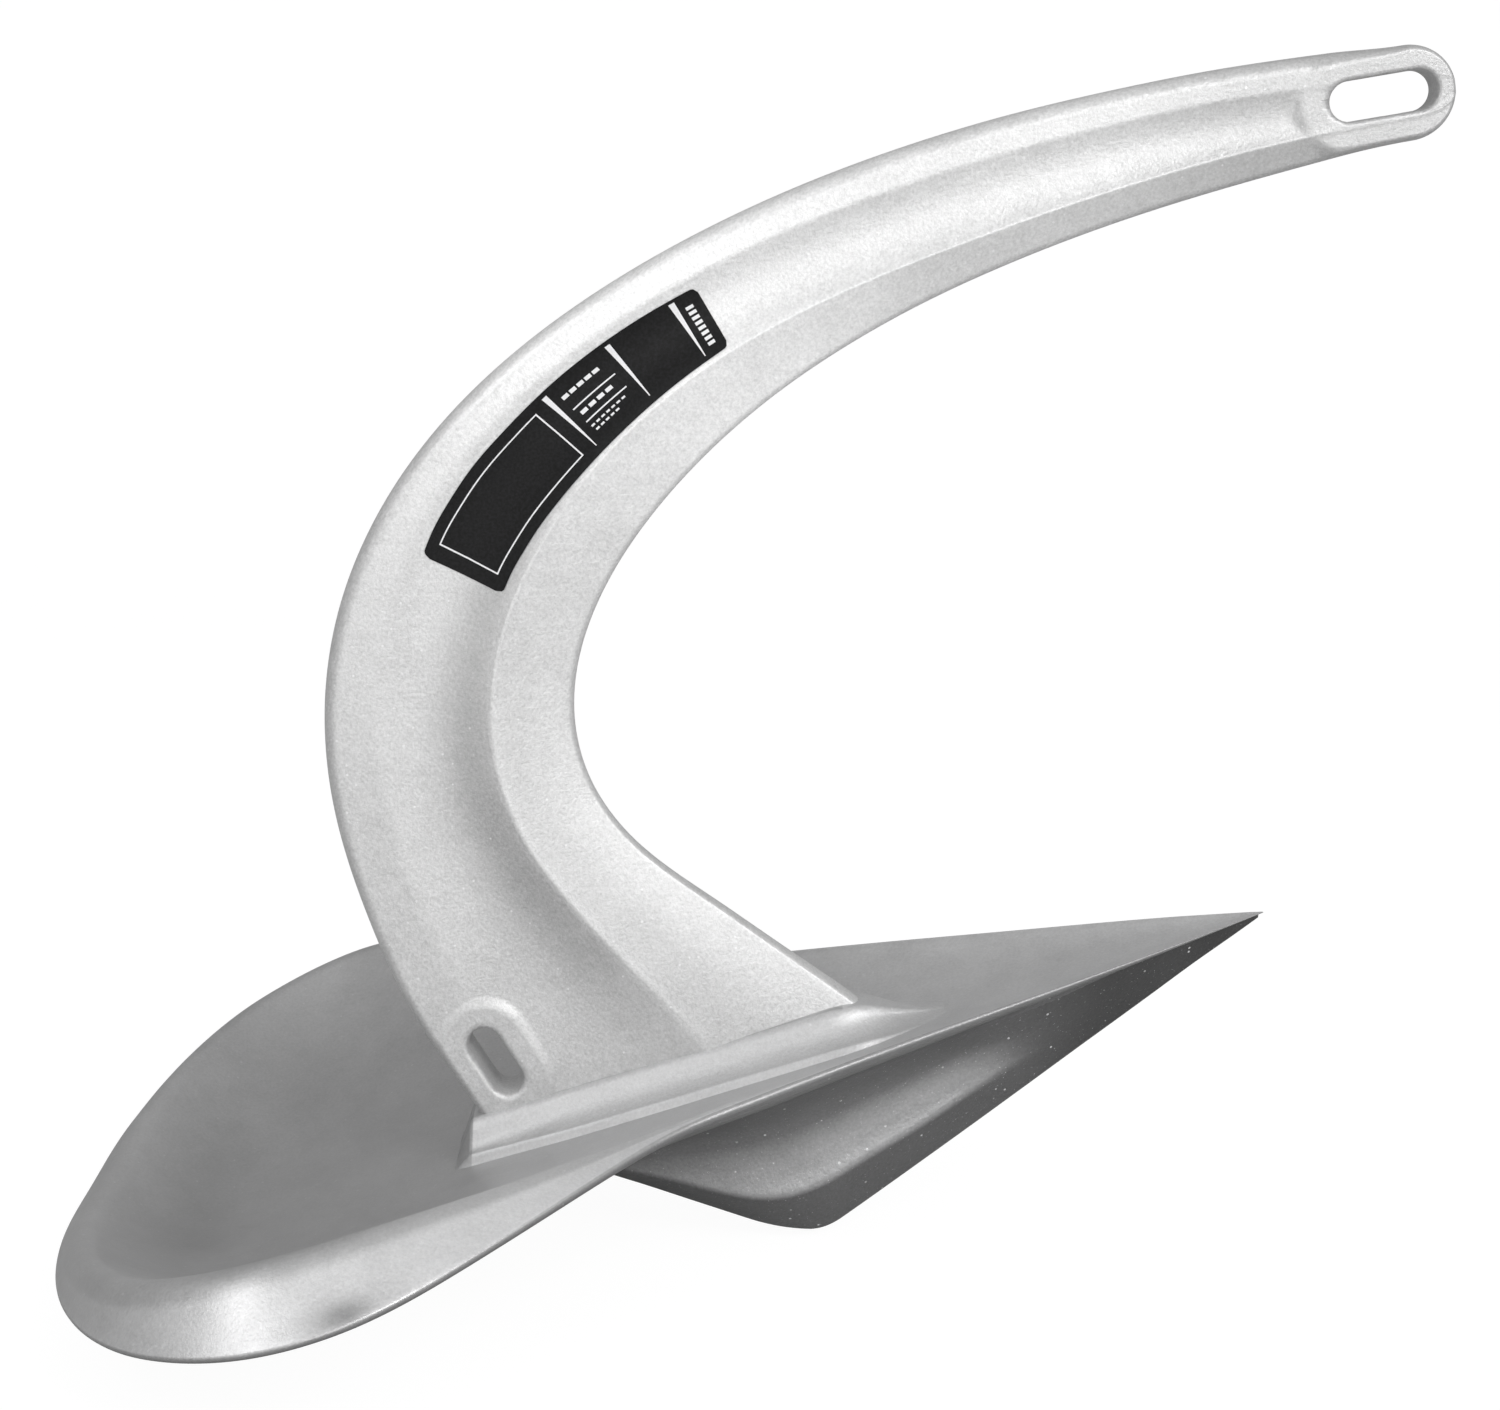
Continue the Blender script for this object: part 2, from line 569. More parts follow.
# rounded rim between the two faces
rim = []
dv = top_f[:, -1] - top_f[:, -2]
dv /= np.maximum(np.linalg.norm(dv, axis=-1, keepdims=True), 1e-9)
mid = 0.5 * (top_f[:, -1] + bot_f[:, -1])
half = 0.5 * (top_f[:, -1] - bot_f[:, -1])
hl = np.linalg.norm(half, axis=-1, keepdims=True)
for a in np.linspace(0, math.pi, 9)[1:-1]:
    rim.append(mid + half * math.cos(a) + dv * hl * 0.8 * math.sin(a))
rim = np.stack(rim, axis=1)
strip = np.concatenate([top_f, rim, bot_f[:, ::-1]], axis=1)
strip[-1, :, 1] = 0.0
S = fl(strip) * MM
nvv = S.shape[1]
port = S.reshape(-1, 3)
star = port * np.array([1, -1, 1])
n = len(port)
faces = grid_faces(NU + 1, nvv) + grid_faces(NU + 1, nvv, n, True)
# toe end
for base, flip in ((0, False), (n, True)):
    m = nvv // 2
    for j in range(m):
        q = (base + j, base + j + 1, base + nvv - 2 - j, base + nvv - 1 - j)
        if len(set(q)) == 4:
            faces.append(q[::-1] if not flip else q)
blade_ob = mesh_object("fluke_plate", np.concatenate([port, star]), faces, [M_BLADE])
weld_and_fix(blade_ob)
T_ = np.linspace(0, 1, NU + 1)[:, None]
J_ = (np.arange(nvv) / (nv - 1.0))[None, :]
LATE = smooth((T_ - 0.55) / 0.15)
BT = -0.20 * bump1(J_, 0.66, 0.12) * LATE
BT = BT + 0.13 * bump1(J_, 0.38, 0.13) * smooth((T_ - 0.80) / 0.10)
BT = BT - 0.42 * smooth((J_ - 0.76) / 0.06) * bump1(T_, 0.46, 0.20)
BT = BT - 0.22 * smooth((J_ - 0.76) / 0.06) * bump1(T_, 0.70, 0.13)
BT = BT + 0.72 * bump1(J_, 0.975, 0.055) * bump1(T_, 0.540, 0.019)
BT = np.where(J_ > 1.0, np.minimum(0.55, 0.10 + 9.0 * (J_ - 1.0)), BT)
BTS = (BT * (1 + 0 * T_)).reshape(-1)
from mathutils.kdtree import KDTree
kd = KDTree(len(S.reshape(-1, 3)))
for i_, v_ in enumerate(S.reshape(-1, 3)):
    kd.insert(Vector(v_), i_)
kd.balance()


def blade_tone(co):
    out_ = np.zeros(len(co))
    for i_, v_ in enumerate(co):
        out_[i_] = BTS[kd.find(Vector((v_[0] * MM, abs(v_[1]) * MM, v_[2] * MM)))[1]]
    return out_


tone(blade_ob, blade_tone)
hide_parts("fluke_blade")
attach(blade_ob, "root")

TOPR = fl(top_f)          # row frame mm, port half
BOTR = fl(bot_f)


class Height:
    """height of a port-half surface over x, |y| by nearest cell lookup"""

    def __init__(self, P, jmax):
        P = P[:, :jmax]
        self.P = P.reshape(-1, 3)
        self.nu, self.nv = P.shape[:2]
        a = []
        for i in range(self.nu - 1):
            for j in range(self.nv - 1):
                k = i * self.nv + j
                a.append((k, k + 1, k + self.nv + 1))
                a.append((k, k + self.nv + 1, k + self.nv))
        self.T = np.array(a)
        p, q, r = self.P[self.T[:, 0]], self.P[self.T[:, 1]], self.P[self.T[:, 2]]
        self.p, self.q, self.r = p, q, r
        self.den = (q[:, 1] - r[:, 1]) * (p[:, 0] - r[:, 0]) + (r[:, 0] - q[:, 0]) * (p[:, 1] - r[:, 1])
        self.den[np.abs(self.den) < 1e-9] = 1e-9

    def __call__(self, x, y):
        y = abs(y)
        p, q, r = self.p, self.q, self.r
        l1 = ((q[:, 1] - r[:, 1]) * (x - r[:, 0]) + (r[:, 0] - q[:, 0]) * (y - r[:, 1])) / self.den
        l2 = ((r[:, 1] - p[:, 1]) * (x - r[:, 0]) + (p[:, 0] - r[:, 0]) * (y - r[:, 1])) / self.den
        l3 = 1 - l1 - l2
        ok = (l1 > -1e-4) & (l2 > -1e-4) & (l3 > -1e-4)
        if not ok.any():
            return TOE[1] - (TOE[0] + SHX - x) * math.tan(PITCH) + 0.0
        z = (l1 * p[:, 2] + l2 * q[:, 2] + l3 * r[:, 2])[ok]
        return float(z.max())


top_z = Height(TOPR[::4, ::2], (ND + NB) // 2)
bot_z = Height(BOTR[::4, ::2], (ND + NB) // 2)

# ------------------------------------------------------------------ shank
sh = Cubic(SHANK_T, SHANK)


def edge_round(d, r):
    c = np.clip(d / r, 0, 1)
    return np.sqrt(np.maximum(0.0, 1 - (1 - c) ** 2))


def section_y(row, q):
    """half thickness before edge rounding; row (n, 11), q (n,)"""
    wid = np.hypot(row[:, 2] - row[:, 0], row[:, 3] - row[:, 1])
    kf, kr, tf, tw, tr, ti = (row[:, k] for k in (4, 5, 6, 7, 8, 9))
    u = smax(q - kf, 0.0 * q, 0.020)
    g = np.clip(u / np.maximum(kr - kf, 1e-3), 0.0, 1.4)
    web = tw + (tf - tw) * np.maximum(1 - g, 0.0) ** 2.7 + (tr - tw) * g ** 3.3
    bev = tr + (ti - tr) * (q - kr) / (1 - kr)
    return smin(web, bev, 0.6)


# lines across: (outer point, inner point, station parameter)
lines = []
u_ax = np.array([math.cos(EYE_TILT), math.sin(EYE_TILT)])
n_ax = np.array([-math.sin(EYE_TILT), math.cos(EYE_TILT)])
for ph in np.linspace(math.radians(89.0), 0, 44):
    c = EYE_B + u_ax * EYE_R * math.sin(ph)
    lines.append((c + n_ax * EYE_R * math.cos(ph), c - n_ax * EYE_R * math.cos(ph), 0.0, 1.0))
r0 = sh(0.0)[0]
O0, I0 = r0[0:2], r0[2:4]
OB, IB = EYE_B + n_ax * EYE_R, EYE_B - n_ax * EYE_R
# gentle curves join the eye outline to the shank outline
r1 = sh(0.002)[0]
tO, tI = (r1[0:2] - O0), (r1[2:4] - I0)
tO /= np.linalg.norm(tO)
tI /= np.linalg.norm(tI)


def hermite(a, ta, b, tb, f):
    L = np.linalg.norm(b - a)
    h00, h10 = 2 * f ** 3 - 3 * f ** 2 + 1, f ** 3 - 2 * f ** 2 + f
    h01, h11 = -2 * f ** 3 + 3 * f ** 2, f ** 3 - f ** 2
    return a * h00 + ta * L * h10 + b * h01 + tb * L * h11


for f in np.linspace(0, 1, 56)[1:-1]:
    lines.append((hermite(OB, -u_ax, O0, tO, f), hermite(IB, -u_ax, I0, tI, f), 0.0, 1.0 - f))
tt = list(np.linspace(0.0, 0.90, 330)) + list(np.linspace(0.90, 1.045, 96)[1:])
for t in tt:
    r = sh(t)[0]
    lines.append((r[0:2], r[2:4], t, 0.0))
NL = len(lines)
OUT = np.array([l[0] for l in lines])
INN = np.array([l[1] for l in lines])
TL = np.array([l[2] for l in lines])
EY = np.array([l[3] for l in lines])
ROW = sh(TL)
WID = np.hypot(*(INN - OUT).T)


def q_lines(i):
    w = WID[i]
    row = ROW[i]
    rn = row[10] * (1 - EY[i]) + 2.6 * EY[i]
    rn = min(rn, 0.2 * w)
    ri = min(2.4, 0.12 * w)
    kf, kr = row[4], row[5]
    if EY[i] > 0.98:
        kf, kr = 0.3, 0.72
    zone = min(2.5 / max(w, 1.0), 0.05)
    a = rn / w * (1 - np.cos(np.linspace(0, math.pi / 2, 11)))
    b = np.linspace(rn / w, max(kf, rn / w + 0.02), 25)[1:]
    c = np.linspace(b[-1], b[-1] + 0.16, 35)[1:]
    d = np.linspace(c[-1], kr - zone, 33)[1:]
    e = np.linspace(kr - zone, kr + zone, 13)[1:]
    g_ = np.linspace(kr + zone, 1 - ri / w, 23)[1:]
    h_ = 1 - ri / w * (1 - np.sin(np.linspace(0, math.pi / 2, 9)))[1:]
    h_ = 1 - (ri / w) * (1 - np.sin(np.linspace(0, math.pi / 2, 9)[1:]))
    return np.concatenate([a, b, c, d, e, g_, h_]), rn, ri


Q = []
RN = []
RI = []
for i in range(NL):
    q, rn, ri = q_lines(i)
    Q.append(q)
    RN.append(rn)
    RI.append(ri)
Q = np.array(Q)
RN, RI = np.array(RN), np.array(RI)
NQ = Q.shape[1]
X = OUT[:, None, 0] + (INN - OUT)[:, None, 0] * Q
Z = OUT[:, None, 1] + (INN - OUT)[:, None, 1] * Q


def snap(o, X, Z, grow=0.0):
    """move the lines nearest an obround onto its rim"""
    oo = dict(o)
    for _ in range(3):
        d = obround(X, Z, oo)
        e = 0.02
        gx = (obround(X + e, Z, oo) - obround(X - e, Z, oo)) / (2 * e)
        gz = (obround(X, Z + e, oo) - obround(X, Z - e, oo)) / (2 * e)
        sp = np.minimum(np.hypot(np.gradient(X, axis=0), np.gradient(Z, axis=0)),
                        np.hypot(np.gradient(X, axis=1), np.gradient(Z, axis=1)) * 4)
        spv = np.hypot(np.gradient(X, axis=1), np.gradient(Z, axis=1))
        # spacing measured across the rim
        sx = np.abs(np.gradient(X, axis=0) * gx + np.gradient(Z, axis=0) * gz)
        sy = np.abs(np.gradient(X, axis=1) * gx + np.gradient(Z, axis=1) * gz)
        lim = 0.5 * np.maximum(sx, sy) + 1e-3
        m = np.abs(d) <= lim
        X = np.where(m, X - gx * d, X)
        Z = np.where(m, Z - gz * d, Z)
        break
    d = obround(X, Z, oo)
    return X, Z, m, d


X, Z, on1, d1 = snap(SLOT, X, Z)
X, Z, on2, d2 = snap(LOW, X, Z)
d1 = obround(X, Z, SLOT)
rowq = np.repeat(ROW[:, None, :], NQ, axis=1).reshape(-1, 11)
Y = section_y(rowq, Q.reshape(-1)).reshape(NL, NQ)
# raised eye pad and lower pad
eye_pad = dict(c=np.array([273.5, 463.9]), a=EYE_TILT, length=27.0 + 2 * EYE_R, width=2 * EYE_R)
de = obround(X, Z, eye_pad)
Y = smax(Y, 7.8 - 1.05 * smax(de + 0.8, 0.0 * de, 1.6), 1.2)
Y = np.where(EY[:, None] > 0.0, np.minimum(Y, 7.95), Y)
dl = obround(X, Z, LOWPAD)
PADY = 12.2
Y = smax(Y, PADY - 0.9 * smax(dl + 0.6, 0.0 * dl, 2.0), 1.0)
# edge distances
dist_o = Q * WID[:, None]
dist_i = (1 - Q) * WID[:, None]
rr = np.hypot(X - EYE_B[0], Z - EYE_B[1])
end_zone = ((X - EYE_B[0]) * u_ax[0] + (Z - EYE_B[1]) * u_ax[1]) > 0
dist_o = np.where(end_zone, np.minimum(dist_o, EYE_R - rr), dist_o)
dist_i = np.where(end_zone, np.minimum(dist_i, EYE_R - rr), dist_i)
dist_o = np.maximum(dist_o, 0.0)
dist_i = np.maximum(dist_i, 0.0)
RNv = np.where(end_zone, 2.6, RN[:, None])
RIv = np.where(end_zone, 2.6, RI[:, None])
Y = Y * np.minimum(edge_round(dist_o, RNv), edge_round(dist_i, RIv))
Y[:, 0] = 0.0
Y[:, -1] = 0.0
# rounded slot rims
for dd, rim_r in ((d1, 1.9), (d2, 2.6)):
    c = np.clip((rim_r - np.maximum(dd, 0)) / rim_r, 0, 1)
    Y = Y - rim_r * (1 - np.sqrt(1 - c * c)) * (dd < rim_r)

VX = (X + SHX) * MM
VZ = Z * MM
VY = Y * MM
P = np.stack([VX, VY, VZ], axis=-1).reshape(-1, 3)
N1 = len(P)
verts = np.concatenate([P, P * np.array([1, -1, 1])])
state = np.ones((NL, NQ), int)
for dd, on in ((d1, on1), (d2, on2)):
    state[dd < -1e-6] = -1
    state[on] = 0
st = state.reshape(-1)
quads = []
tris = []
for i in range(NL - 1):
    b = i * NQ
    for j in range(NQ - 1):
        a = b + j
        q = (a, a + 1, a + NQ + 1, a + NQ)
        s4 = (st[q[0]], st[q[1]], st[q[2]], st[q[3]])
        if min(s4) == 1:
            quads.append(q)
        elif max(s4) <= 0:
            continue
        elif min(s4) == 0:
            quads.append(q)
        else:
            # one corner inside, the opposite outside
            for k in range(4):
                if s4[k] == 1:
                    t3 = (q[k - 1], q[k], q[(k + 1) % 4])
                    if min(st[t3[0]], st[t3[2]]) >= 0:
                        tris.append(t3)
faces = [tuple(q) for q in quads] + tris
near = list(faces)
from collections import defaultdict
cnt = defaultdict(int)
for fc in near:
    for k in range(len(fc)):
        a, b = fc[k], fc[(k + 1) % len(fc)]
        cnt[(min(a, b), max(a, b))] += 1
allf = [f_ for f_ in near] + [tuple(N1 + v for v in f_[::-1]) for f_ in near]
extra = []
wall_rows = 5
idx = {}
vlist = [verts]
nxt = len(verts)
rim_v = sorted({v for e, c in cnt.items() if c == 1 and st[e[0]] == 0 and st[e[1]] == 0 for v in e})
new = []
for v in rim_v:
    ids = [v]
    y = P[v][1]
    for k in range(1, wall_rows):
        new.append((P[v][0], y * (1 - 2.0 * k / wall_rows), P[v][2]))
        ids.append(nxt)
        nxt += 1
    ids.append(N1 + v)
    idx[v] = ids
if new:
    vlist.append(np.array(new))
for fc in near:
    for k in range(len(fc)):
        a, b = fc[k], fc[(k + 1) % len(fc)]
        if cnt[(min(a, b), max(a, b))] == 1 and a in idx and b in idx:
            A_, B_ = idx[a], idx[b]
            for r_ in range(wall_rows):
                extra.append((B_[r_], A_[r_], A_[r_ + 1], B_[r_ + 1]))
# buried end
b = (NL - 1) * NQ
for j in range(NQ - 1):
    extra.append((b + j, b + j + 1, N1 + b + j + 1, N1 + b + j))
# round nose end of the eye
for j in range(NQ - 1):
    extra.append((j + 1, j, N1 + j, N1 + j + 1))
shank_ob = mesh_object("shank_forging", np.concatenate(vlist), allf + extra, [M_SHANK])
weld_and_fix(shank_ob, 4e-6)
TT = np.linspace(0, 1, 240)
QQ = np.linspace(0, 1, 50)
rr = sh(TT)
gx = rr[:, [0]] + (rr[:, [2]] - rr[:, [0]]) * QQ[None, :] + SHX
gz = rr[:, [1]] + (rr[:, [3]] - rr[:, [1]]) * QQ[None, :]
kd2 = KDTree(gx.size)
for i_, (a_, b_) in enumerate(zip(gx.reshape(-1), gz.reshape(-1))):
    kd2.insert(Vector((a_, 0.0, b_)), i_)
kd2.balance()


def shank_tone(co):
    ids_ = np.array([kd2.find(Vector((v_[0], 0.0, v_[2])))[1] for v_ in co])
    t_, q_ = TT[ids_ // 50], QQ[ids_ % 50]
    kr_ = rr[ids_ // 50, 5]
    kf_ = rr[ids_ // 50, 4]
    low = smooth((t_ - 0.62) / 0.20)
    web_ = smooth((q_ - kf_ + 0.04) / 0.08) * (1 - smooth((q_ - kr_ + 0.03) / 0.05))
    eye = bump1(np.hypot(v0(co) - EYE_C[0], co[:, 2] - EYE_C[1]), 0.0, 34.0)
    o = 0.05 * eye + 0.21 * smooth((co[:, 0] - 105.0) / 120.0)
    o = o + 0.09 * low * (1 - smooth((q_ - kr_ + 0.05) / 0.10))
    o = o + 0.29 * bump1(q_, kr_ - 0.10, 0.12) * web_ * smooth((t_ - 0.46) / 0.12) * (1 - 0.60 * smooth((t_ - 0.84) / 0.14))
    o = o + 0.13 * low * smooth((q_ - kr_) / 0.05) * (1 - smooth((q_ - kr_ - 0.10) / 0.20))
    o = o - (0.28 * (1 - web_) + 0.12 * web_) * bump1(t_, 0.45, 0.13)
    return o


def v0(co):
    return co[:, 0]


EYE_C = (255.0, 464.0)
tone(shank_ob, shank_tone)
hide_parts("shank")
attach(shank_ob, "root")

# ------------------------------------------------------------------ chamber
keel = Cubic(-KEEL[:, 0], KEEL)


def keel_row(x):
    r = keel(-x)[0].copy()
    front = 0.4 + 0.7237 * (x - 63.0)
    rear = 0.4 + (45.0 - x) * 0.354
    zs = smax(smax(np.array(front), np.array(0.4), 5.0), np.array(rear), 5.0) if x < 90 else front
    r[1] = float(zs)
    return r


def seat(x):
    """how far the chamber reaches into the plate"""
    return 1.2 * min(1.0, max(0.02, (246.0 - x) / 150.0))


def half_curve(x):
    """outer line of the chamber half section, plate to middle of the sole"""
    r = keel_row(x)
    ys = min(r[2], 18.0)
    zs, zc, yc, yt = r[1], max(r[3], r[1] + 0.8), r[4], r[5]
    zt = bot_z(x + SHX, yt) + seat(x)
    T = np.array([yt, zt])
    C = np.array([yc, zc])
    Sx = np.array([ys, zs])
    B = np.array([0.0, zs])
    pts = []
    # ahead of the hollow the side is one flat face
    flat = float(smooth(np.array((x - 112.0) / 46.0)))
    ts = (Sx - T) / max(np.linalg.norm(Sx - T), 1e-6)
    C = C * (1 - flat) + (T + ts * np.dot(C - T, ts)) * flat
    m = np.linalg.norm(T - C)
    nrm2 = np.array([(T - C)[1], -(T - C)[0]]) / max(m, 1e-6)
    rc = min(2.6, 0.16 * m, 0.30 * np.linalg.norm(Sx - C))
    rs = min(3.5, 0.3 * np.linalg.norm(Sx - C), 0.4 * ys)
    f1 = 1 - rc / m
    for f in np.linspace(0, f1, 30):
        p = T + (C - T) * f - nrm2 * (0.165 * (1 - flat) * m * 4 * f * (1 - f) * (0.85 + 0.3 * f))
        pts.append(p)
    a = pts[-1]
    dcs = (Sx - C) / np.linalg.norm(Sx - C)
    c2 = C + dcs * rc
    for f in np.linspace(0, 1, 9)[1:]:
        pts.append(a * (1 - f) ** 2 + C * 2 * f * (1 - f) + c2 * f * f)
    s1 = Sx - dcs * rs
    for f in np.linspace(0, 1, 8)[1:]:
        pts.append(c2 + (s1 - c2) * f)
    s2 = Sx + np.array([-1.0, 0.0]) * rs
    for f in np.linspace(0, 1, 7)[1:]:
        pts.append(s1 * (1 - f) ** 2 + Sx * 2 * f * (1 - f) + s2 * f * f)
    for f in np.linspace(0, 1, 6)[1:]:
        pts.append(s2 + (B - s2) * f)
    return np.array(pts)


SPLIT = 30 + 8 + 7 + 3         # column where side plate and sole meet
KXS = np.concatenate([np.linspace(243.5, 90.0, 80), np.linspace(90.0, 30.0, 50)[1:], np.linspace(30.0, -52.0, 42)[1:]])
H = np.array([half_curve(x) for x in KXS])          # (nx, nc, 2)
nx, nc = H.shape[:2]


def grid3(cols, xs, off):
    """half curve columns to 3-D, moved inwards by off"""
    Hs = H[xs][:, cols]
    d = np.gradient(H[xs], axis=1)[:, cols]
    nn = np.stack([-d[..., 1], d[..., 0]], axis=-1)
    nn /= np.maximum(np.linalg.norm(nn, axis=-1, keepdims=True), 1e-9)
    # inwards: towards the centre plane and up
    flip = (nn[..., 0] * 1.0 - nn[..., 1] * 0.3) > 0
    nn = np.where(flip[..., None], -nn, nn)
    k = np.clip((246.0 - KXS[xs]) / 75.0, 0.02, 1)[:, None, None]
    Q2 = Hs + nn * off * k
    Q2[..., 0] = np.maximum(Q2[..., 0], 0.05)
    if off > 0:
        for a_, i_ in enumerate(xs):
            for c_ in range(Q2.shape[1]):
                if cols[c_] < 14:
                    lim = bot_z(KXS[i_] + SHX, Q2[a_, c_, 0]) + 0.5 * seat(KXS[i_])
                    Q2[a_, c_, 1] = min(Q2[a_, c_, 1], lim)
    xx = np.repeat((KXS[xs] + SHX)[:, None], Q2.shape[1], axis=1)
    return np.stack([xx, Q2[..., 0], Q2[..., 1]], axis=-1)


cols_side = np.arange(0, SPLIT + 1)
cols_sole = np.arange(SPLIT, nc)
xs_all = np.arange(nx)
i_k = int(np.argmin(np.abs(KXS - 45.0)))
o3, i3 = grid3(cols_side, xs_all, 0.0), grid3(cols_side, xs_all, 4.0)


def chamber_tone(co):
    x_ = co[:, 0] - SHX
    o = 0.52 * smooth((x_ - 128.0) / 60.0)
    zch = np.interp(x_, KXS[::-1], [keel_row(v)[3] for v in KXS[::-1]])
    zpl = TOE[1] - (TOE[0] - x_) * math.tan(PITCH) - 6.0
    up_ = (co[:, 2] - zch) / np.maximum(zpl - zch, 4.0)
    o = o - 0.42 * bump1(up_, 0.60, 0.28) * (1 - smooth((x_ - 95.0) / 60.0))
    return o - 0.16 * bump1(x_, 62.0, 42.0)


for nm, sg, node in (("chamber_side_port", 1, "keel_side_port"), ("chamber_side_starboard", -1, "keel_side_starboard")):
    v, fc = closed_plate(o3 * np.array([1, sg, 1]) * MM, i3 * np.array([1, sg, 1]) * MM)
    ob = mesh_object(nm, v, fc, [M_CHAMBER])
    weld_and_fix(ob)
    tone(ob, chamber_tone)
    sharp_edges(ob, 50)
    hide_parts(node)
    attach(ob, "root")
for nm, xs, node in (("chamber_sole", np.arange(0, i_k + 1), "keel_sole"), ("chamber_rear", np.arange(i_k, nx), "keel_rear_plate")):
    a = grid3(cols_sole, xs, 0.0)
    b = grid3(cols_sole, xs, 4.6)
    a[:, -1, 1] = 0
    b[:, -1, 1] = 0
    full_o = np.concatenate([a, (a * np.array([1, -1, 1]))[:, ::-1][:, 1:]], axis=1)
    full_i = np.concatenate([b, (b * np.array([1, -1, 1]))[:, ::-1][:, 1:]], axis=1)
    v, fc = closed_plate(full_o * MM, full_i * MM)
    ob = mesh_object(nm, v, fc, [M_CHAMBER])
    weld_and_fix(ob)
    tone(ob, chamber_tone)
    sharp_edges(ob, 50)
    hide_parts(node)
    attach(ob, "root")

# ------------------------------------------------------------------ welds
# along, height share, reach, inner share (front and rear run out to nothing)
ROOT = np.array([(-91.0, 0.02, 25.2, 1.0), (-90.0, 0.14, 26.2, 1.0), (-85.0, 0.93, 27.0, 1.0), (-83.6, 1.0, 27.2, 1.0),
                 (-72.0, 1.0, 27.5, 1.0), (-30.0, 1.0, 28.0, 1.0), (10.0, 1.0, 28.0, 1.0), (50.0, 1.0, 28.0, 1.0),
                 (66.0, 0.99, 28.0, 0.95), (74.0, 0.92, 27.5, 0.80), (82.0, 0.74, 25.5, 0.58), (90.0, 0.50, 22.5, 0.36),
                 (98.0, 0.28, 18.5, 0.18), (106.0, 0.11, 13.0, 0.06), (113.0, 0.01, 7.0, 0.0)])
xs = np.concatenate([np.linspace(-91.0, -80.0, 34), np.linspace(-80.0, 60.0, 150)[1:], np.linspace(60.0, 113.0, 60)[1:]])
rt = np.array([np.interp(xs, ROOT[:, 0], ROOT[:, k]) for k in range(4)]).T
soft = Cubic(ROOT[7:, 0], ROOT[7:])(np.clip(xs, 50.0, 113.0))
rt = np.where((xs > 50.0)[:, None], soft, rt)
rt[:, 0] = xs
rt[:, 1] = np.clip(rt[:, 1], 0.01, 1.0)
rt[:, 3] = np.clip(rt[:, 3], 0.0, 1.0)
rng = np.random.RandomState(7)
wave = np.convolve(rng.randn(len(xs) + 14), np.hanning(15) / 7.0, "valid")[:len(xs)]
secs = []
for i, (x, kh, reach, kk) in enumerate(rt):
    xr = x + SHX
    zc = TOE[1] - (TOE[0] + SHX - xr) * math.tan(PITCH)
    hi = 17.2 * kh + 0.10 * wave[i] * kh
    inner = 11.0 * kk
    reach = reach + 0.15 * wave[i] - 3.6 * float(1 - smooth(np.array((x + 91.0) / 55.0)))
    A = np.array([inner + 0.2, zc + hi])
    zt = top_z(xr, reach)
    kx_ = 0.35 + 0.65 * kh
    Cp = A + np.array([4.6 * kx_, -3.9 * kh])
    foot = np.array([max(reach - 1.6, Cp[0] + 2.0), max(zt + 0.15, zc + 0.30 * hi)])
    pts = [(0.0, zc - 2.0), (0.0, zc + hi), (0.5 * A[0], zc + hi), tuple(A)]

    def bez(P0, P1, P2, P3, k_):
        for f in np.linspace(0, 1, k_)[1:]:
            q_ = P0 * (1 - f) ** 3 + P1 * 3 * f * (1 - f) ** 2 + P2 * 3 * f * f * (1 - f) + P3 * f ** 3
            pts.append(tuple(q_))

    bez(A, A + np.array([2.3 * kx_, -0.1 * kh]), Cp + np.array([-1.0 * kx_, 1.6 * kh]), Cp, 10)
    bez(Cp, Cp + np.array([1.7 * kx_, -3.0 * kh]), foot + np.array([-0.52 * (foot[0] - Cp[0]), 0.25 * kh]), foot, 16)
    E = np.array([foot[0] + 2.2, zt - 0.15])
    bez(foot, foot + np.array([0.9, -0.05]), np.array([foot[0] + 1.5, zt + 0.6 * kh]), E, 7)
    pts.append((E[0] + 0.3, zt - 2.0))
    secs.append([(xr, p[0], p[1]) for p in pts])
W = np.array(secs) * MM
nxw, ncw = W.shape[:2]
for nm, sg, node in (("root_bead_port", 1, "root_weld_port"), ("root_bead_starboard", -1, "root_weld_starboard")):
    V_ = (W * np.array([1, sg, 1])).reshape(-1, 3)
    fc = grid_faces(nxw, ncw)
    for i in range(nxw - 1):
        fc.append((i * ncw, (i + 1) * ncw, (i + 1) * ncw + ncw - 1, i * ncw + ncw - 1))
    fc.append(tuple(range(ncw)))
    fc.append(tuple(range((nxw - 1) * ncw, nxw * ncw))[::-1])
    ob = mesh_object(nm, V_, fc, [M_WELD])
    weld_and_fix(ob)
    tone(ob, lambda co: 0.45 * bump1(np.abs(co[:, 1]), 10.6, 0.75) * (co[:, 0] < 40.0) - 0.06
         + 0.30 * (co[:, 0] < -83.9 + SHX))
    sharp_edges(ob, 48)
    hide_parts(node)
    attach(ob, "root")

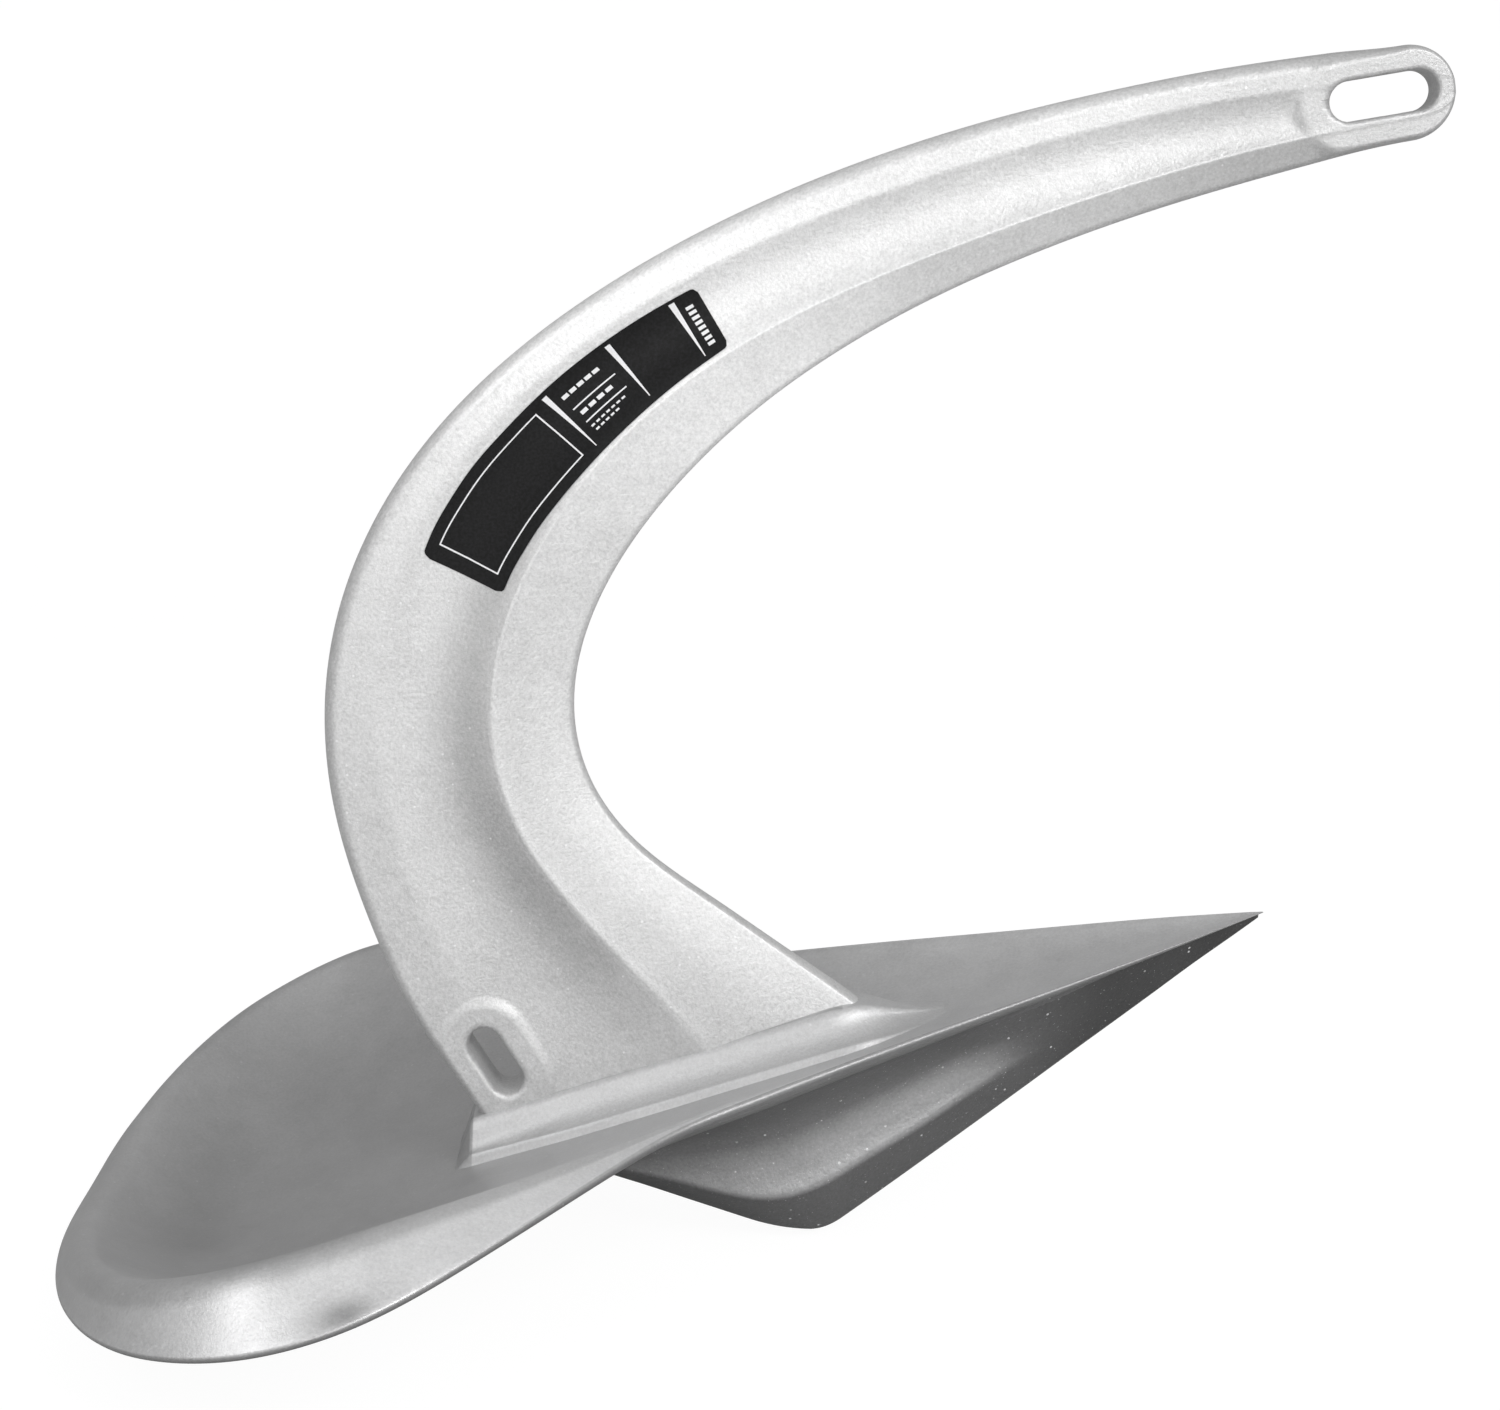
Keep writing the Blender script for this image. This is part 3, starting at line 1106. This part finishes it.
# seam beads under the plate
xs = np.linspace(190.0, -40.0, 250)
secs = []
rip = np.convolve(rng.randn(len(xs) + 6), np.hanning(7) / 3.0, "valid")[:len(xs)]
for i, x in enumerate(xs):
    r = keel_row(x)
    leg = 4.2 * min(1.0, max(0.12, (196.0 - x) / 60.0)) * (1 + 0.06 * rip[i] + 0.05 * math.sin(x * 1.9))
    hc = half_curve(x)
    T, C = hc[0], hc[min(6, len(hc) - 1)]
    dd = (C - T) / np.linalg.norm(C - T)
    a = np.array([T[0] - 1.0, T[1] + 0.6])
    b = np.array([T[0] + leg, bot_z(x + SHX, T[0] + leg) + 0.5])
    c = T + dd * leg * 1.6 + np.array([-0.3, 0])
    mid = (b + c) * 0.5 + np.array([-0.05, 0.25]) * leg
    pts = [a, b]
    for f in np.linspace(0, 1, 8)[1:-1]:
        pts.append(b * (1 - f) ** 2 + mid * 2 * f * (1 - f) + c * f * f)
    pts += [c, np.array([c[0] - 1.5, c[1]])]
    secs.append([(x + SHX, p[0], p[1]) for p in pts])
W = np.array(secs) * MM
nxw, ncw = W.shape[:2]
for nm, sg, node in (("seam_bead_port", 1, "chamber_weld_port"), ("seam_bead_starboard", -1, "chamber_weld_starboard")):
    V_ = (W * np.array([1, sg, 1])).reshape(-1, 3)
    fc = grid_faces(nxw, ncw)
    for i in range(nxw - 1):
        fc.append((i * ncw, (i + 1) * ncw, (i + 1) * ncw + ncw - 1, i * ncw + ncw - 1))
    fc.append(tuple(range(ncw)))
    fc.append(tuple(range((nxw - 1) * ncw, nxw * ncw))[::-1])
    ob = mesh_object(nm, V_, fc, [M_SEAM])
    weld_and_fix(ob)
    sharp_edges(ob, 50)
    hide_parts(node)
    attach(ob, "root")

# ------------------------------------------------------------------ labels
LAB_O = np.array([(-100.5, 284.0), (-96.2, 294.2), (-89.4, 306.0), (-80.0, 319.6), (-69.2, 331.9),
                  (-49.3, 351.6), (-29.5, 367.4), (-9.8, 380.3), (7.8, 390.1)])
LAB_I = np.array([(-68.9, 268.7), (-65.2, 277.2), (-60.2, 286.0), (-54.8, 294.5), (-47.6, 304.2),
                  (-29.9, 324.6), (-12.0, 342.0), (5.0, 356.0), (21.3, 367.6)])


def arc_param(P_):
    d_ = np.r_[0, np.cumsum(np.linalg.norm(np.diff(P_, axis=0), axis=1))]
    return d_ / d_[-1]


lo = Cubic(arc_param(LAB_O), LAB_O)
li = Cubic(arc_param(LAB_I), LAB_I)


from mathutils.bvhtree import BVHTree
tree = BVHTree.FromPolygons([tuple(v.co) for v in shank_ob.data.vertices],
                            [tuple(q.vertices) for q in shank_ob.data.polygons])


def side_y(x, z):
    """half thickness of the shank at x, z (arrays), measured on its port side"""
    out = np.zeros(x.shape)
    for i in range(len(x)):
        hit = tree.ray_cast(Vector(((x[i] + SHX) * MM, 0.06, z[i] * MM)), Vector((0, -1, 0)))
        out[i] = hit[0].y / MM if hit[0] is not None else 6.0
    return out


def film(name, s0, s1, q0a, q1a, q0b, q1b, lift, thick, mat, corner, side, ns=90, nq=34):
    """a film patch on the web: along s0..s1, across from q0 to q1 at either end"""
    S_ = np.linspace(0, 1, ns)
    out = []
    for f in S_:
        s_ = s0 + (s1 - s0) * f
        qa = q0a + (q0b - q0a) * f
        qb = q1a + (q1b - q1a) * f
        # rounded corners
        Lmm = abs(s1 - s0) * 165.0
        dmm = min(f, 1 - f) * Lmm
        ins = corner - math.sqrt(max(0.0, corner ** 2 - (corner - dmm) ** 2)) if dmm < corner else 0.0
        ins /= 34.0
        for k in np.linspace(0, 1, nq):
            q_ = qa + ins + (qb - qa - 2 * ins) * k
            po, pi_ = lo(s_)[0], li(s_)[0]
            out.append(po + (pi_ - po) * q_)
    out = np.array(out)
    y = side_y(out[:, 0], out[:, 1])
    lowg = np.stack([out[:, 0] + SHX, (y + lift) * side, out[:, 1]], axis=-1).reshape(ns, nq, 3)
    upg = np.stack([out[:, 0] + SHX, (y + lift + thick) * side, out[:, 1]], axis=-1).reshape(ns, nq, 3)
    return closed_plate(upg * MM, lowg * MM)


for nm, sg, node in (("label_film_port", 1, "label_port"), ("label_film_starboard", -1, "label_starboard")):
    v, fc = film(nm, 0.0, 1.0, 0, 1, 0, 1, 0.04, 0.30, M_LABEL, 3.0, sg, 140, 40)
    ob = mesh_object(nm, v, fc, [M_LABEL])
    weld_and_fix(ob)
    sharp_edges(ob, 40)
    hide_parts(node)
    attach(ob, "root")
    # tapered dividers and thin rules
    vs, fs = [], []
    k0 = 0
    marks = [(0.512, 0.528, 0.06, 0.90), (0.722, 0.738, 0.06, 0.90), (0.917, 0.934, 0.05, 0.93)]
    for s0, s1, qa, qb in marks:
        # wedge: wide at the outer end, fine at the inner end
        ns_, nq_ = 4, 40
        pts = []
        for f in np.linspace(0, 1, ns_):
            for k in np.linspace(0, 1, nq_):
                q_ = qa + (qb - qa) * k
                half_w = (s1 - s0) * 0.5 * (1.0 - 0.82 * k)
                s_ = (s0 + s1) / 2 + (f - 0.5) * 2 * half_w
                po, pi_ = lo(s_)[0], li(s_)[0]
                pts.append(po + (pi_ - po) * q_)
        pts = np.array(pts)
        y = side_y(pts[:, 0], pts[:, 1])
        low = np.stack([pts[:, 0] + SHX, (y + 0.345) * sg, pts[:, 1]], axis=-1).reshape(ns_, nq_, 3) * MM
        up = np.stack([pts[:, 0] + SHX, (y + 0.40) * sg, pts[:, 1]], axis=-1).reshape(ns_, nq_, 3) * MM
        v_, f_ = closed_plate(up, low)
        vs.append(v_)
        fs += [tuple(k0 + i for i in q) for q in f_]
        k0 += len(v_)
    rules = [(0.548, 0.697, 0.398, 0.416), (0.548, 0.697, 0.612, 0.630)]
    # frame line around the large panel and rows of short bars
    rules += [(0.045, 0.475, 0.130, 0.146), (0.045, 0.475, 0.854, 0.870), (0.045, 0.0495, 0.130, 0.870), (0.4705, 0.475, 0.130, 0.870)]
    rules += [(0.550 + 0.026 * k, 0.570 + 0.026 * k, 0.20, 0.25) for k in range(5)]
    rules += [(0.556 + 0.030 * k, 0.578 + 0.030 * k, 0.48, 0.53) for k in range(4)]
    rules += [(0.550 + 0.019 * k, 0.562 + 0.019 * k, 0.69, 0.715) for k in range(7)]
    rules += [(0.553 + 0.019 * k, 0.565 + 0.019 * k, 0.755, 0.780) for k in range(5)]
    rules += [(0.950, 0.972, 0.20 + 0.085 * k, 0.25 + 0.085 * k) for k in range(8)]
    for s0, s1, qa, qb in rules:
        ns_, nq_ = 24, 3
        pts = []
        for f in np.linspace(0, 1, ns_):
            for k in np.linspace(0, 1, nq_):
                s_ = s0 + (s1 - s0) * f
                po, pi_ = lo(s_)[0], li(s_)[0]
                pts.append(po + (pi_ - po) * (qa + (qb - qa) * k))
        pts = np.array(pts)
        y = side_y(pts[:, 0], pts[:, 1])
        low = np.stack([pts[:, 0] + SHX, (y + 0.345) * sg, pts[:, 1]], axis=-1).reshape(ns_, nq_, 3) * MM
        up = np.stack([pts[:, 0] + SHX, (y + 0.40) * sg, pts[:, 1]], axis=-1).reshape(ns_, nq_, 3) * MM
        v_, f_ = closed_plate(up, low)
        vs.append(v_)
        fs += [tuple(k0 + i for i in q) for q in f_]
        k0 += len(v_)
    mk = mesh_object(nm.replace("film", "marks"), np.concatenate(vs), fs, [M_INK])
    weld_and_fix(mk, 1e-7)
    sharp_edges(mk, 40)
    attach(mk, "root")

# ------------------------------------------------------------------ carried CAD nodes
for node, mat in (("keel_rib", M_INNER), ("toe_ballast", M_BALLAST)):
    o = NODES[node]
    for i in range(len(o.material_slots)):
        o.material_slots[i].material = mat

# ------------------------------------------------------------------ stage
scene = bpy.context.scene
fm, nt = new_mat("floor_paper")
g = G(nt)
tc = g.n("ShaderNodeTexCoord")
fn = g.noise(tc.outputs["Object"], 3.0, 3.0)
fcol = g.mix(fn, (0.52, 0.52, 0.52), (0.56, 0.56, 0.56))
bs = g.n("ShaderNodeBsdfPrincipled", Roughness=0.9)
g.l(fcol, bs.inputs["Base Color"])
em = g.n("ShaderNodeEmission", Strength=1.12)
g.l(g.mix(fn, (0.99, 0.99, 0.99), (1.0, 1.0, 1.0)), em.inputs[0])
lpf = g.n("ShaderNodeLightPath")
mx = g.n("ShaderNodeMixShader")
g.l(g.math("MULTIPLY", lpf.outputs["Is Camera Ray"], 0.86), mx.inputs[0])
g.l(bs.outputs[0], mx.inputs[1])
g.l(em.outputs[0], mx.inputs[2])
out = g.n("ShaderNodeOutputMaterial")
g.l(mx.outputs[0], out.inputs[0])
z0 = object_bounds()[0][2] - 0.0002
fv = []
ff = []
prof = [(-4.0, 0.0), (1.6, 0.0)]
for a in np.linspace(0, math.pi / 2, 17)[1:]:
    prof.append((1.6 + 1.2 * math.sin(a), 1.2 * (1 - math.cos(a))))
prof.append((2.8, 5.0))
for y, z in prof:
    for x in np.linspace(-6, 6, 7):
        fv.append((x, y, z0 + z))
nf = 7
for i in range(len(prof) - 1):
    for j in range(nf - 1):
        a = i * nf + j
        ff.append((a, a + 1, a + nf + 1, a + nf))
floor = mesh_object("floor", np.array(fv), ff, [fm])


def area(name, loc, target, size, power, size_y=None, color=(1, 1, 1)):
    L_ = bpy.data.lights.new(name, "AREA")
    L_.energy = power
    L_.color = color
    if size_y:
        L_.shape = "RECTANGLE"
        L_.size = size
        L_.size_y = size_y
    else:
        L_.size = size
    o_ = bpy.data.objects.new(name, L_)
    scene.collection.objects.link(o_)
    o_.location = loc
    d_ = Vector(target) - Vector(loc)
    o_.rotation_euler = d_.to_track_quat("-Z", "Y").to_euler()
    return o_


area("key", (0.95, -1.25, 1.25), (0.0, 0.0, 0.22), 0.8, 14.5, 0.7)
area("front", (0.35, -2.3, 0.55), (0.0, 0.0, 0.22), 1.0, 9.0, 0.8)
area("left", (-1.0, -0.9, 1.15), (-0.17, -0.18, 0.05), 0.75, 4.0, 0.55)
area("low_left", (-0.62, -0.95, 0.12), (-0.20, -0.18, 0.04), 0.7, 1.0, 0.3)

w = bpy.data.worlds.new("studio")
scene.world = w
w.use_nodes = True
wn = w.node_tree
wn.nodes.clear()
g = G(wn)
lp = g.n("ShaderNodeLightPath")
tcw = g.n("ShaderNodeTexCoord")
sp_ = g.n("ShaderNodeSeparateXYZ")
g.l(tcw.outputs["Generated"], sp_.inputs[0])
# brighter above and on the camera side, dim behind and below
side = g.math("ADD", 0.42, g.math("MULTIPLY", sp_.outputs[1], -0.22))
side = g.math("ADD", side, g.math("MULTIPLY", sp_.outputs[2], 0.20))
side = g.math("ADD", side, g.math("MULTIPLY", sp_.outputs[0], 0.08))
strength = g.math("ADD", g.math("MULTIPLY", lp.outputs["Is Camera Ray"], 0.8), g.math("MULTIPLY", side, 1.0))
bg = g.n("ShaderNodeBackground")
bg.inputs[0].default_value = (1, 1, 1, 1)
g.l(strength, bg.inputs[1])
wo = g.n("ShaderNodeOutputWorld")
g.l(bg.outputs[0], wo.inputs[0])
scene.view_settings.view_transform = "Standard"
scene.view_settings.look = "None"
scene.view_settings.exposure = 0.0

# ------------------------------------------------------------------ camera
F_PX = 2500.0
VP = (675.0, 202.0)
DIST = 1000.0
nvec = np.array([VP[0] - 750.0, VP[1] - 705.0, F_PX])
nvec /= np.linalg.norm(nvec)
up = np.array([0, -1.0, 0])
Xc = np.cross(nvec, up)
Xc /= np.linalg.norm(Xc)
if Xc[0] < 0:
    Xc = -Xc
Zc = np.cross(Xc, nvec)
Zc /= np.linalg.norm(Zc)
if Zc[1] > 0:
    Zc = -Zc
right = Vector((Xc[0], nvec[0], Zc[0]))
down = Vector((Xc[1], nvec[1], Zc[1]))
fwd = Vector((Xc[2], nvec[2], Zc[2]))
cam_d = bpy.data.cameras.new("camera")
cam_d.sensor_fit = "HORIZONTAL"
cam_d.sensor_width = 36.0
cam_d.lens = F_PX * 36.0 / 1500.0
cam_d.clip_start = 0.05
cam_d.clip_end = 30.0
cam = bpy.data.objects.new("camera", cam_d)
scene.collection.objects.link(cam)
R = Matrix((right, -down, -fwd)).transposed().to_4x4()
cam.matrix_world = Matrix.Translation(Vector((SHX * MM, -DIST * MM, 422.6633 * MM))) @ R
scene.camera = cam
